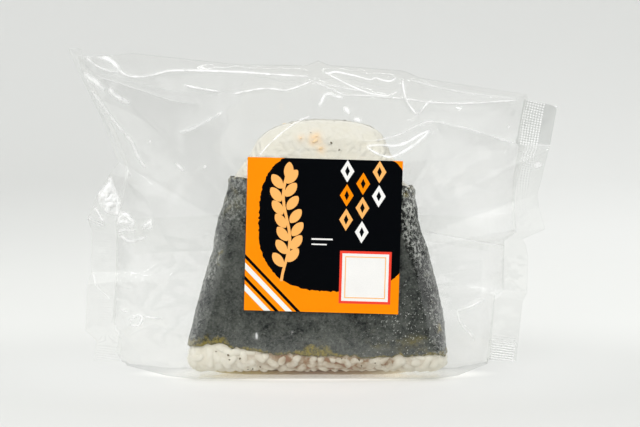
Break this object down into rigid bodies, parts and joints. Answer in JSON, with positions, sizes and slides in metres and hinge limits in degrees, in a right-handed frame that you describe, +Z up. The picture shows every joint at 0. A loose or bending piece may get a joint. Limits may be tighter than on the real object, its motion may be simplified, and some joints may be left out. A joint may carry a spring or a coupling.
{
  "type": "wrapped onigiri rice ball",
  "caption": "Triangular rice ball wrapped in a band of seaweed, sealed in a clear film pack with crimped ends, a back fin and a square label on the front.",
  "frame": {"origin": "middle of the pack's bounding box at its base, on the surface that it stands on", "axes": "+Z up, the pack is long along X, the label faces -Y"},
  "size_m": [0.1559, 0.0344, 0.1046],
  "materials": {
    "film": "clear glossy plastic film, creased, with crimped ends",
    "label": "coated printed label, satin",
    "rice": "moist cooked rice grains, pressed",
    "nori": "soft seaweed sheet, rough"
  },
  "bodies": {
    "root": {"film_pack": "film", "label": "label"}
  },
  "joints": []
}
